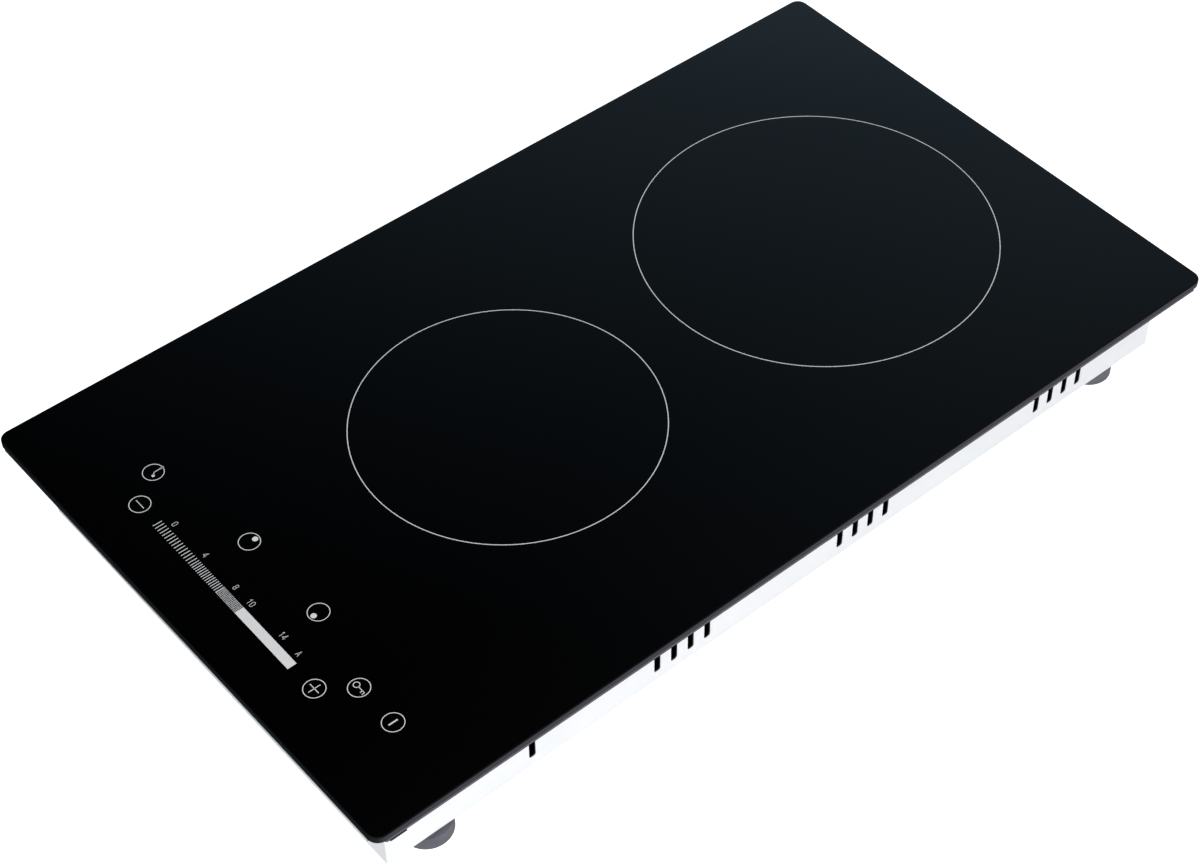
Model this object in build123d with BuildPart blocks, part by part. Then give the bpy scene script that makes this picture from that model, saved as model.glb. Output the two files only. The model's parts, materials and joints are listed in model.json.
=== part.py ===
"""Two-zone domino induction cooktop, built as the separate pieces it comes apart into.

Frame: origin on the standing plane at the middle of the plan, X to the user's right,
Y towards the back, Z up. All sizes in millimetres.
"""

from build123d import *
import os
from math import cos, radians, sin

os.makedirs("parts", exist_ok=True)

# ---------------------------------------------------------------- driving dimensions

# Glass plate
GLASS_W = 302.0
GLASS_D = 521.0
GLASS_T = 4.0
GLASS_CORNER_R = 6.0
GLASS_ARRIS = 0.5

# Heights above the standing plane
FOOT_H = 8.5
TOTAL_H = 61.0
GLASS_BOTTOM = TOTAL_H - GLASS_T

# Base tray of folded white sheet
CASE_W = 268.0
CASE_D = 492.0
SHEET = 1.0
BEND_R = 3.0
CASE_BOTTOM = FOOT_H
CASE_TOP = GLASS_BOTTOM - 2.0
FLOOR = CASE_BOTTOM + SHEET

# Cooking zones: middle line and radius of the coil under each
ZONES = {"front": (-70.0, 72.0, 6), "rear": (132.5, 89.0, 8)}

# Touch field
TOUCH_Y = -216.0
KEYS = {
    "timer": (-83.1, -216.4),
    "minus": (-70.5, -232.2),
    "rear_zone": (-18.5, -206.5),
    "front_zone": (35.8, -206.6),
    "plus": (69.0, -233.1),
    "lock": (81.4, -217.8),
    "power": (106.0, -217.8),
}


def save(piece, label):
    """Label a finished piece and write it as its own STEP file."""
    piece.part.label = label
    export_step(piece.part, f"parts/{label}.step")


def polar(radius, degrees_round):
    """Offsets in x and y at a radius and an angle."""
    angle = radians(degrees_round)
    return radius * cos(angle), radius * sin(angle)


def grid(xs, ys, z):
    """Every combination of the given x and y places, all at height z."""
    return [(x, y, z) for x in xs for y in ys]


# ---------------------------------------------------------------- glass, seal and frame

with BuildPart() as glass_top:
    with BuildSketch(Plane.XY.offset(GLASS_BOTTOM)):
        RectangleRounded(GLASS_W, GLASS_D, GLASS_CORNER_R)
    extrude(amount=GLASS_T)
    chamfer(glass_top.faces().sort_by(Axis.Z)[-1].edges(), GLASS_ARRIS)
    chamfer(glass_top.faces().sort_by(Axis.Z)[0].edges(), 0.6 * GLASS_ARRIS)
save(glass_top, "glass_top")

# Foam sealing tape stuck under the rim, cut across each corner; its ends lap at the front right
SEAL_INSET = 0.2
SEAL_BAND = 10.0
SEAL_T = 1.4
SEAL_CORNER = 6.0
LAP_Y = -248.4
LAP_L = 8.5
LAP_T = 1.2
with BuildPart() as edge_seal:
    with BuildSketch(Plane.XY.offset(GLASS_BOTTOM - SEAL_T)) as seal_plan:
        Rectangle(GLASS_W - 2 * SEAL_INSET, GLASS_D - 2 * SEAL_INSET)
        chamfer(seal_plan.vertices(), SEAL_CORNER)
        inner_w = GLASS_W - 2 * (SEAL_INSET + SEAL_BAND)
        inner_d = GLASS_D - 2 * (SEAL_INSET + SEAL_BAND)
        RectangleRounded(inner_w, inner_d, 1.0, mode=Mode.SUBTRACT)
    extrude(amount=SEAL_T)
    lap_x = GLASS_W / 2 - SEAL_INSET - SEAL_BAND / 2
    with Locations((lap_x, LAP_Y, GLASS_BOTTOM - SEAL_T - LAP_T / 2)):
        Box(SEAL_BAND, LAP_L, LAP_T)
save(edge_seal, "edge_seal")

# Sheet-steel frame bonded under the glass; its tabs go down inside the tray walls
FRAME_W = 276.0
FRAME_D = 496.0
FRAME_BAND = 10.0
TAB_T = 1.0
TAB_H = 12.0
TAB_L = 24.0
TAB_GAP = 0.15
TAB_X = CASE_W / 2 - SHEET - TAB_GAP - TAB_T / 2
TAB_Y = CASE_D / 2 - SHEET - TAB_GAP - TAB_T / 2
SIDE_TABS_Y = (-205.0, -20.0, 115.0)
END_TABS_X = (-80.0, 80.0)
SCREW_Z = CASE_TOP - 6.0
CASE_SCREW_R = 1.9
with BuildPart() as support_frame:
    with BuildSketch(Plane.XY.offset(CASE_TOP)):
        RectangleRounded(FRAME_W, FRAME_D, 4.0)
        RectangleRounded(FRAME_W - 2 * FRAME_BAND, FRAME_D - 2 * FRAME_BAND, 3.0, mode=Mode.SUBTRACT)
    extrude(amount=SHEET)
    tab_z = CASE_TOP - TAB_H / 2
    with Locations(*grid((-TAB_X, TAB_X), SIDE_TABS_Y, tab_z)):
        Box(TAB_T, TAB_L, TAB_H)
    with Locations(*grid(END_TABS_X, (-TAB_Y, TAB_Y), tab_z)):
        Box(TAB_L, TAB_T, TAB_H)
    with Locations(*grid((-TAB_X, TAB_X), SIDE_TABS_Y, SCREW_Z)):
        Cylinder(CASE_SCREW_R, 4 * TAB_T, rotation=(0, 90, 0), mode=Mode.SUBTRACT)
    with Locations(*grid(END_TABS_X, (-TAB_Y, TAB_Y), SCREW_Z)):
        Cylinder(CASE_SCREW_R, 4 * TAB_T, rotation=(90, 0, 0), mode=Mode.SUBTRACT)
save(support_frame, "support_frame")

# Silicone bead between the frame and the glass
BEAD_W = 5.0
with BuildPart() as glass_adhesive:
    with BuildSketch(Plane.XY.offset(CASE_TOP + SHEET)):
        RectangleRounded(CASE_W, CASE_D, 6.0)
        RectangleRounded(CASE_W - 2 * BEAD_W, CASE_D - 2 * BEAD_W, 3.0, mode=Mode.SUBTRACT)
    extrude(amount=GLASS_BOTTOM - CASE_TOP - SHEET)
save(glass_adhesive, "glass_adhesive")

# ---------------------------------------------------------------- base tray

# Vertical vent slots in both long walls: single slots and groups of four
SLOT_W = 3.8
SLOT_CORNER_R = 1.3
SLOT_LOW = 16.7
SLOT_HIGH = 40.0
SLOT_PITCH = 10.2
SINGLE_SLOT_Y = -164.6
SLOT_GROUPS_Y = (-75.6, 40.0, 176.6)
SLOTS_PER_GROUP = 4

# Feet
FRONT_FOOT_X = 123.4
REAR_FOOT_X = 120.5
FOOT_Y = 217.0
FOOT_R = 12.6
FOOT_CHAMFER = 0.9
FOOT_PLACES = {
    "front_left": (-FRONT_FOOT_X, -FOOT_Y),
    "front_right": (FRONT_FOOT_X, -FOOT_Y),
    "rear_left": (-REAR_FOOT_X, FOOT_Y),
    "rear_right": (REAR_FOOT_X, FOOT_Y),
}
FOOT_SCREW_R = 2.0
CLEAR = 0.1

# Fan
FAN_X = -66.0
FAN_Y = 176.0

# Terminal box in the back wall
TERM_X = 66.0
TERM_W = 88.0
TERM_Z = 26.5
TERM_H = 29.0
TERM_D = 44.0
TERM_WALL = 2.0
GLAND_X = 33.5
GLAND_R = 8.0
CABLE_R = 5.2
CASE_BACK = CASE_D / 2

# Holes for worktop brackets in the end walls
BRACKET_SPACING = 60.0
BRACKET_HOLE_R = 2.1
BRACKET_Z = 31.0


def folded_block(width, depth, low, high, radius):
    """A block whose four bottom edges are bends of the given radius, with mitred corners."""
    with BuildPart() as block:
        with BuildSketch(Plane.XZ) as across:
            with Locations((0, (low + high) / 2)):
                Rectangle(width, high - low)
            fillet(across.vertices().group_by(Axis.Y)[0], radius)
        extrude(amount=depth / 2, both=True)
        with BuildSketch(Plane.YZ) as along:
            with Locations((0, (low + high) / 2)):
                Rectangle(depth, high - low)
            fillet(along.vertices().group_by(Axis.Y)[0], radius)
        extrude(amount=width / 2, both=True, mode=Mode.INTERSECT)
    return block.part


slot_places = [SINGLE_SLOT_Y]
for middle in SLOT_GROUPS_Y:
    for step in range(SLOTS_PER_GROUP):
        slot_places.append(middle + (step - (SLOTS_PER_GROUP - 1) / 2) * SLOT_PITCH)

outer_block = folded_block(CASE_W, CASE_D, CASE_BOTTOM, CASE_TOP, BEND_R)
inner_block = folded_block(CASE_W - 2 * SHEET, CASE_D - 2 * SHEET, FLOOR, CASE_TOP + 5, BEND_R - SHEET)

with BuildPart() as case_tray:
    add(outer_block)
    add(inner_block, mode=Mode.SUBTRACT)
    # vent slots through both long walls
    with BuildSketch(Plane.YZ):
        with Locations(*[(y, (SLOT_LOW + SLOT_HIGH) / 2) for y in slot_places]):
            RectangleRounded(SLOT_W, SLOT_HIGH - SLOT_LOW, SLOT_CORNER_R)
    extrude(amount=CASE_W, both=True, mode=Mode.SUBTRACT)
    # air intake under the fan: rings of radial slots
    with BuildSketch(Plane.XY.offset(CASE_BOTTOM)):
        for ring_r, ring_count in ((12.0, 10), (24.5, 20)):
            with Locations((FAN_X, FAN_Y)):
                with PolarLocations(ring_r, ring_count):
                    SlotOverall(9.0, 3.0)
    extrude(amount=SHEET, mode=Mode.SUBTRACT)
    # air outlet slots in the floor at the front
    with BuildSketch(Plane.XY.offset(CASE_BOTTOM)):
        with Locations((0, -195)):
            with GridLocations(9.0, 0, 17, 1):
                SlotOverall(34.0, 3.2, rotation=90)
    extrude(amount=SHEET, mode=Mode.SUBTRACT)
    # screw holes
    with Locations(*[(x, y, FLOOR) for x, y in FOOT_PLACES.values()]):
        Cylinder(FOOT_SCREW_R + CLEAR, 4 * SHEET, mode=Mode.SUBTRACT)
    with Locations(*grid((0,), SIDE_TABS_Y, SCREW_Z)):
        Cylinder(CASE_SCREW_R, 2 * CASE_W, rotation=(0, 90, 0), mode=Mode.SUBTRACT)
    with Locations(*grid(END_TABS_X, (0,), SCREW_Z)):
        Cylinder(CASE_SCREW_R, 2 * CASE_D, rotation=(90, 0, 0), mode=Mode.SUBTRACT)
    with Locations(*grid((-BRACKET_SPACING / 2, BRACKET_SPACING / 2), (-CASE_BACK,), BRACKET_Z)):
        Cylinder(BRACKET_HOLE_R, 6 * SHEET, rotation=(90, 0, 0), mode=Mode.SUBTRACT)
    # opening for the terminal box
    with Locations((TERM_X, CASE_BACK, TERM_Z)):
        Box(TERM_W + 2 * CLEAR, 6 * SHEET, TERM_H + 2 * CLEAR, mode=Mode.SUBTRACT)
save(case_tray, "case_tray")


def screw(head_r, head_h, shank_r, length):
    """Pan-head screw with a cross recess: the head's underside is at z = 0."""
    with BuildPart() as one:
        Cylinder(head_r, head_h, align=(Align.CENTER, Align.CENTER, Align.MIN))
        fillet(one.edges().sort_by(Axis.Z)[-1], head_h * 0.45)
        Cylinder(shank_r, length, align=(Align.CENTER, Align.CENTER, Align.MAX))
        with BuildSketch(Plane.XY.offset(head_h)):
            Rectangle(head_r * 1.1, head_r * 0.28)
            Rectangle(head_r * 0.28, head_r * 1.1)
        extrude(amount=-head_h * 0.55, mode=Mode.SUBTRACT)
    return one.part


case_screw = screw(3.4, 2.2, CASE_SCREW_R - CLEAR, 4.5)
with BuildPart() as case_screws:
    for y in SIDE_TABS_Y:
        add(Pos(CASE_W / 2, y, SCREW_Z) * Rot(0, 90, 0) * case_screw)
        add(Pos(-CASE_W / 2, y, SCREW_Z) * Rot(0, -90, 0) * case_screw)
    for x in END_TABS_X:
        add(Pos(x, CASE_D / 2, SCREW_Z) * Rot(-90, 0, 0) * case_screw)
        add(Pos(x, -CASE_D / 2, SCREW_Z) * Rot(90, 0, 0) * case_screw)
save(case_screws, "case_screws")

# ---------------------------------------------------------------- feet

FOOT_RECESS_R = 5.5
FOOT_RECESS_H = 4.6
for place, (x, y) in FOOT_PLACES.items():
    foot_plane = Plane(origin=(x, y, 0), x_dir=(1, 0, 0), z_dir=(0, -1, 0))
    with BuildPart() as foot:
        with BuildSketch(foot_plane):
            with BuildLine():
                Polyline(
                    (FOOT_SCREW_R + CLEAR, FOOT_H),
                    (FOOT_R, FOOT_H),
                    (FOOT_R, FOOT_CHAMFER),
                    (FOOT_R - FOOT_CHAMFER, 0),
                    (FOOT_RECESS_R, 0),
                    (FOOT_RECESS_R, FOOT_RECESS_H),
                    (FOOT_SCREW_R + CLEAR, FOOT_RECESS_H),
                    close=True,
                )
            make_face()
        revolve(axis=Axis((x, y, 0), (0, 0, 1)))
    save(foot, f"foot_{place}")

foot_screw = screw(4.0, 2.4, FOOT_SCREW_R, 7.6)
with BuildPart() as foot_screws:
    for x, y in FOOT_PLACES.values():
        add(Pos(x, y, FOOT_RECESS_H) * Rot(180, 0, 0) * foot_screw)
save(foot_screws, "foot_screws")

# ---------------------------------------------------------------- mains terminal box

TERM_FLANGE_T = 2.0
TERM_FLANGE_EDGE = 3.0
FLANGE_BACK = CASE_BACK + TERM_FLANGE_T
TERM_RIGHT = TERM_X + TERM_W / 2
TERM_LOW = TERM_Z - TERM_H / 2
TERM_HIGH = TERM_Z + TERM_H / 2

# Hinged cover: a plate over the terminal opening, hung from a pin along its top edge
COVER_LEFT = 48.0
COVER_RIGHT = TERM_RIGHT - 1.0
COVER_GAP = 0.3
COVER_T = 1.8
COVER_FACE_GAP = 0.4
HINGE_Y = FLANGE_BACK + 2.3
HINGE_Z = TERM_HIGH + 0.4
HINGE_PIN_R = 1.0
HINGE_PLAY = 0.05
KNUCKLE_R = 1.9
EAR_W = 2.6
OPENING_INSET = 4.0

with BuildPart() as terminal_housing:
    with Locations((TERM_X, CASE_BACK - TERM_D / 2 + TERM_FLANGE_T / 2, TERM_Z)):
        Box(TERM_W, TERM_D + TERM_FLANGE_T, TERM_H)
    with Locations((TERM_X, CASE_BACK + TERM_FLANGE_T / 2, TERM_Z)):
        Box(TERM_W + 2 * TERM_FLANGE_EDGE, TERM_FLANGE_T, TERM_H + 2 * TERM_FLANGE_EDGE)
    # the hollow that holds the terminals and the wires
    with Locations((TERM_X, CASE_BACK - TERM_D / 2, TERM_Z)):
        Box(TERM_W - 2 * TERM_WALL, TERM_D - 2 * TERM_WALL, TERM_H - 2 * TERM_WALL, mode=Mode.SUBTRACT)
    # access opening behind the cover
    opening_left = COVER_LEFT + OPENING_INSET
    opening_right = COVER_RIGHT - OPENING_INSET
    with Locations(((opening_left + opening_right) / 2, CASE_BACK, TERM_Z)):
        Box(opening_right - opening_left, 12.0, TERM_H - 2 * OPENING_INSET, mode=Mode.SUBTRACT)
    # cable gland seat
    with Locations((GLAND_X, CASE_BACK, TERM_Z)):
        Cylinder(GLAND_R, 12.0, rotation=(90, 0, 0), mode=Mode.SUBTRACT)
    # wire outlet into the tray, at the front of the housing
    with Locations((TERM_X + 20, CASE_BACK - TERM_D, TERM_Z - 4)):
        Box(16.0, 12.0, 8.0, mode=Mode.SUBTRACT)
    # hinge ears
    ear_places = [
        (COVER_LEFT - COVER_GAP - EAR_W / 2, FLANGE_BACK, HINGE_Z),
        (COVER_RIGHT + COVER_GAP + EAR_W / 2, FLANGE_BACK, HINGE_Z),
    ]
    ear_reach = HINGE_Y - FLANGE_BACK
    with Locations(*ear_places):
        Box(EAR_W, ear_reach, 2 * KNUCKLE_R, align=(Align.CENTER, Align.MIN, Align.CENTER))
    with Locations(*[(x, HINGE_Y, z) for x, y, z in ear_places]):
        Cylinder(KNUCKLE_R, EAR_W, rotation=(0, 90, 0))
        Cylinder(HINGE_PIN_R, 2 * EAR_W, rotation=(0, 90, 0), mode=Mode.SUBTRACT)
save(terminal_housing, "terminal_housing")

cover_w = COVER_RIGHT - COVER_LEFT
cover_x = (COVER_LEFT + COVER_RIGHT) / 2
cover_low = TERM_LOW + 1.0
cover_back = FLANGE_BACK + COVER_FACE_GAP + 1.2
with BuildPart() as terminal_cover:
    with Locations((cover_x, cover_back + COVER_T / 2, (cover_low + HINGE_Z) / 2)):
        Box(cover_w, COVER_T, HINGE_Z - cover_low)
    fillet(terminal_cover.edges().filter_by(Axis.Y).group_by(Axis.Z)[0], 3.0)
    # thumb rib along the lower edge
    with Locations((cover_x, cover_back + COVER_T + 0.6, cover_low + 2.5)):
        Box(26.0, 1.2, 2.0)
    # raised ribs that stiffen the plate
    for rib_z in (TERM_Z - 4, TERM_Z + 2, TERM_Z + 8):
        with Locations((cover_x, cover_back + COVER_T + 0.3, rib_z)):
            Box(cover_w - 14, 0.6, 1.2)
    # latch nib that reaches back to the flange
    with Locations((cover_x, FLANGE_BACK + COVER_FACE_GAP, cover_low + 2.5)):
        Box(8.0, 1.2, 2.0, align=(Align.CENTER, Align.MIN, Align.CENTER))
    with Locations((cover_x, HINGE_Y, HINGE_Z)):
        Cylinder(KNUCKLE_R, cover_w, rotation=(0, 90, 0))
        Cylinder(HINGE_PIN_R + HINGE_PLAY, cover_w + 2, rotation=(0, 90, 0), mode=Mode.SUBTRACT)
save(terminal_cover, "terminal_cover")

with BuildPart() as terminal_hinge_pin:
    with Locations((cover_x, HINGE_Y, HINGE_Z)):
        Cylinder(HINGE_PIN_R, cover_w + 2 * COVER_GAP + 2 * EAR_W, rotation=(0, 90, 0))
save(terminal_hinge_pin, "terminal_hinge_pin")

GLAND_HEX = 21.0
GLAND_COLLAR_L = 5.0
with BuildPart() as cable_gland:
    with Locations((GLAND_X, CASE_BACK - 2, TERM_Z)):
        Cylinder(GLAND_R - CLEAR, 12.0, rotation=(90, 0, 0))
    with BuildSketch(Plane(origin=(GLAND_X, FLANGE_BACK, TERM_Z), x_dir=(1, 0, 0), z_dir=(0, 1, 0))):
        RegularPolygon(GLAND_HEX / 2, 6, major_radius=False)
    extrude(amount=GLAND_COLLAR_L)
    with Locations((GLAND_X, FLANGE_BACK + GLAND_COLLAR_L + 1.5, TERM_Z)):
        Cylinder(GLAND_R, 3.0, rotation=(90, 0, 0))
    with Locations((GLAND_X, CASE_BACK, TERM_Z)):
        Cylinder(CABLE_R, 40.0, rotation=(90, 0, 0), mode=Mode.SUBTRACT)
save(cable_gland, "cable_gland")

# Screw terminal block: a row of poles with a funnel and a screw each
POLES = 5
POLE_PITCH = 9.0
BLOCK_Y = CASE_BACK - 22.0
BLOCK_D = 16.0
BLOCK_H = 13.0
BLOCK_X = (opening_left + opening_right) / 2
block_low = TERM_LOW + TERM_WALL
with BuildPart() as terminal_block:
    with Locations((BLOCK_X, BLOCK_Y, block_low + BLOCK_H / 2)):
        Box(POLES * POLE_PITCH + 2, BLOCK_D, BLOCK_H)
    with Locations((BLOCK_X, BLOCK_Y, block_low + BLOCK_H)):
        with GridLocations(POLE_PITCH, 0, POLES, 1):
            Cylinder(2.6, 10.0, mode=Mode.SUBTRACT)
    with Locations((BLOCK_X, BLOCK_Y + BLOCK_D / 2, block_low + 5)):
        with GridLocations(POLE_PITCH, 0, POLES, 1):
            Box(5.0, 6.0, 4.0, mode=Mode.SUBTRACT)
save(terminal_block, "terminal_block")

with BuildPart() as terminal_screws:
    with Locations((BLOCK_X, BLOCK_Y, block_low + BLOCK_H - 5)):
        with GridLocations(POLE_PITCH, 0, POLES, 1):
            Cylinder(2.5, 4.0, align=(Align.CENTER, Align.CENTER, Align.MIN))
    with Locations((BLOCK_X, BLOCK_Y, block_low + BLOCK_H - 1)):
        with GridLocations(POLE_PITCH, 0, POLES, 1):
            Box(5.4, 0.7, 1.2, mode=Mode.SUBTRACT)
save(terminal_screws, "terminal_screws")

# ---------------------------------------------------------------- power electronics

BOARD_LEFT = -122.0
BOARD_RIGHT = 66.0
BOARD_FRONT = -132.0
BOARD_BACK = 118.0
BOARD_T = 1.6
STANDOFF_H = 6.4
BOARD_LOW = FLOOR + STANDOFF_H
BOARD_TOP = BOARD_LOW + BOARD_T
board_x = (BOARD_LEFT + BOARD_RIGHT) / 2
board_y = (BOARD_FRONT + BOARD_BACK) / 2
BOARD_W = BOARD_RIGHT - BOARD_LEFT
BOARD_D = BOARD_BACK - BOARD_FRONT
STANDOFF_R = 3.6
standoff_xs = (BOARD_LEFT + 6, BOARD_RIGHT - 6)
standoff_ys = (BOARD_FRONT + 6, board_y, BOARD_BACK - 6)

with BuildPart() as power_board:
    with Locations((board_x, board_y, BOARD_LOW + BOARD_T / 2)):
        Box(BOARD_W, BOARD_D, BOARD_T)
    fillet(power_board.edges().filter_by(Axis.Z), 3.0)
    with Locations(*grid(standoff_xs, standoff_ys, BOARD_LOW)):
        Cylinder(1.7, 3 * BOARD_T, mode=Mode.SUBTRACT)
save(power_board, "power_board")

with BuildPart() as board_standoffs:
    with Locations(*grid(standoff_xs, standoff_ys, FLOOR)):
        Cylinder(STANDOFF_R, STANDOFF_H, align=(Align.CENTER, Align.CENTER, Align.MIN))
        Cylinder(1.5, STANDOFF_H, align=(Align.CENTER, Align.CENTER, Align.MIN), mode=Mode.SUBTRACT)
save(board_standoffs, "board_standoffs")

# Finned heatsink along the left of the board; the transistors lie under its base
SINK_X = -68.0
SINK_W = 62.0
SINK_FRONT = -112.0
SINK_BACK = 96.0
SINK_L = SINK_BACK - SINK_FRONT
SINK_Y = (SINK_FRONT + SINK_BACK) / 2
SINK_BASE = 4.0
SINK_LEG_T = 2.5
FINS = 12
FIN_T = 1.4
FIN_TOP = 37.0
DEVICE_T = 5.0
sink_base_low = BOARD_TOP + DEVICE_T
with BuildPart() as heatsink:
    with Locations((SINK_X, SINK_Y, sink_base_low)):
        Box(SINK_W, SINK_L, SINK_BASE, align=(Align.CENTER, Align.CENTER, Align.MIN))
    with Locations((SINK_X, SINK_Y, sink_base_low)):
        with GridLocations((SINK_W - FIN_T) / (FINS - 1), 0, FINS, 1):
            Box(FIN_T, SINK_L, FIN_TOP - sink_base_low, align=(Align.CENTER, Align.CENTER, Align.MIN))
    with Locations((SINK_X, SINK_Y, BOARD_TOP)):
        with GridLocations(SINK_W - SINK_LEG_T, 0, 2, 1):
            Box(SINK_LEG_T, SINK_L, DEVICE_T, align=(Align.CENTER, Align.CENTER, Align.MIN))
save(heatsink, "heatsink")

device_ys = [SINK_FRONT + 30 + 36 * n for n in range(4)]
with BuildPart() as power_transistors:
    with Locations(*[(SINK_X, y, BOARD_TOP + DEVICE_T / 2) for y in device_ys]):
        Box(16.0, 20.0, DEVICE_T)
        with Locations((0, -12.0, 0.4 - DEVICE_T / 2)):
            with GridLocations(5.45, 0, 3, 1):
                Box(1.2, 5.0, 0.8)
save(power_transistors, "power_transistors")

with BuildPart() as bridge_rectifier:
    with Locations((SINK_X, SINK_BACK - 20, BOARD_TOP + DEVICE_T / 2)):
        Box(30.0, 18.0, DEVICE_T)
    fillet(bridge_rectifier.edges().filter_by(Axis.Z), 2.0)
save(bridge_rectifier, "bridge_rectifier")


TERMINAL_H = 12.0


def box_row(places, width, depth, height, edge):
    """Box-shaped components standing on the board, with their upright and top edges rounded."""
    with BuildPart() as row:
        with Locations(*[(x, y, BOARD_TOP) for x, y in places]):
            Box(width, depth, height, align=(Align.CENTER, Align.CENTER, Align.MIN))
        fillet(row.edges().filter_by(Axis.Z), edge)
    return row


resonance_capacitors = box_row([(-12, y) for y in (-100, -72, -44, -16)], 32.0, 22.0, 18.0, 1.0)
save(resonance_capacitors, "resonance_capacitors")

filter_capacitors = box_row([(-12, 20), (-12, 50)], 32.0, 20.0, 19.0, 1.0)
save(filter_capacitors, "filter_capacitors")

relays = box_row([(48, 20), (48, 44)], 16.0, 20.0, 15.0, 0.8)
save(relays, "relays")

supply_transformer = box_row([(42, -20)], 26.0, 24.0, 19.0, 1.5)
save(supply_transformer, "supply_transformer")

coil_terminals = box_row([(42, -60), (46, -88)], 22.0, 12.0, TERMINAL_H, 0.5)
save(coil_terminals, "coil_terminals")

with BuildPart() as electrolytic_capacitors:
    with Locations((18, -112, BOARD_TOP), (36, -112, BOARD_TOP), (54, -112, BOARD_TOP)):
        Cylinder(7.0, 20.0, align=(Align.CENTER, Align.CENTER, Align.MIN))
    fillet(electrolytic_capacitors.edges().filter_by(GeomType.CIRCLE), 0.8)
save(electrolytic_capacitors, "electrolytic_capacitors")

CHOKE_R = 14.0
with BuildPart() as filter_choke:
    with BuildSketch(Plane(origin=(30, 92, BOARD_TOP), x_dir=(1, 0, 0), z_dir=(0, -1, 0))):
        with Locations((CHOKE_R - 5, 7.5)):
            RectangleRounded(9.0, 14.0, 3.0)
    revolve(axis=Axis((30, 92, 0), (0, 0, 1)))
    # the turns of wire, as raised bands round the ring
    with Locations((30, 92, BOARD_TOP + 7.5)):
        with PolarLocations(CHOKE_R - 5, 12):
            Box(10.4, 2.2, 15.0)
save(filter_choke, "filter_choke")

with BuildPart() as fuse:
    with Locations((-6, 88, BOARD_TOP + 4.5)):
        Cylinder(3.0, 20.0, rotation=(90, 0, 0))
    with Locations((-6, 80, BOARD_TOP), (-6, 96, BOARD_TOP)):
        Box(8.0, 4.0, 7.0, align=(Align.CENTER, Align.CENTER, Align.MIN))
save(fuse, "fuse")

# ---------------------------------------------------------------- cooling fan

FAN_SIDE = 92.0
FAN_LOW = FLOOR + 0.6
FAN_HIGH = 36.0
FAN_WALL = 2.0
FAN_INLET_R = 30.0
IMPELLER_R = 38.0
HUB_R = 15.5
MOTOR_R = 12.5
SHAFT_R = 1.5
SHAFT_PLAY = 0.05
BLADES = 24
BLADE_INNER_R = 29.0
BLADE_T = 1.0
IMPELLER_LOW = FAN_LOW + FAN_WALL + 0.9
IMPELLER_HIGH = FAN_HIGH - FAN_WALL - 1.2
HUB_FLOOR = IMPELLER_LOW + 3.0
OUTLET_W = 62.0
LUG_H = 6.0
LUG_OUT = 4.2
FAN_LUGS = (
    (FAN_X - FAN_SIDE / 2 - LUG_OUT, FAN_Y - 34),
    (FAN_X + FAN_SIDE / 2 + LUG_OUT, FAN_Y + 34),
)
fan_mid = (FAN_LOW + FAN_HIGH) / 2

with BuildPart() as fan_housing:
    with BuildSketch(Plane.XY.offset(FAN_LOW)):
        with Locations((FAN_X, FAN_Y)):
            RectangleRounded(FAN_SIDE, FAN_SIDE, 8.0)
    extrude(amount=FAN_HIGH - FAN_LOW)
    with BuildSketch(Plane.XY.offset(FAN_LOW + FAN_WALL)):
        with Locations((FAN_X, FAN_Y)):
            RectangleRounded(FAN_SIDE - 2 * FAN_WALL, FAN_SIDE - 2 * FAN_WALL, 6.0)
    extrude(amount=FAN_HIGH - FAN_LOW - 2 * FAN_WALL, mode=Mode.SUBTRACT)
    # inlet in the floor and outlet towards the heatsink
    with Locations((FAN_X, FAN_Y, FAN_LOW)):
        Cylinder(FAN_INLET_R, 3 * FAN_WALL, mode=Mode.SUBTRACT)
    with Locations((FAN_X, FAN_Y - FAN_SIDE / 2, fan_mid)):
        Box(OUTLET_W, 4 * FAN_WALL, FAN_HIGH - FAN_LOW - 2 * FAN_WALL, mode=Mode.SUBTRACT)
    # screw lugs
    with Locations(*[(x, y, FLOOR) for x, y in FAN_LUGS]):
        Cylinder(5.0, LUG_H, align=(Align.CENTER, Align.CENTER, Align.MIN))
        Cylinder(1.7, LUG_H, align=(Align.CENTER, Align.CENTER, Align.MIN), mode=Mode.SUBTRACT)
save(fan_housing, "fan_housing")

with BuildPart() as fan_motor:
    motor_h = FAN_HIGH - FAN_WALL - HUB_FLOOR - 1.0
    with Locations((FAN_X, FAN_Y, FAN_HIGH - FAN_WALL)):
        Cylinder(MOTOR_R, motor_h, align=(Align.CENTER, Align.CENTER, Align.MAX))
    fillet(fan_motor.edges().filter_by(GeomType.CIRCLE).sort_by(Axis.Z)[0], 1.0)
    with Locations((FAN_X, FAN_Y, FAN_HIGH - FAN_WALL)):
        Cylinder(SHAFT_R + SHAFT_PLAY, 3 * motor_h, mode=Mode.SUBTRACT)
save(fan_motor, "fan_motor")

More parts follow.
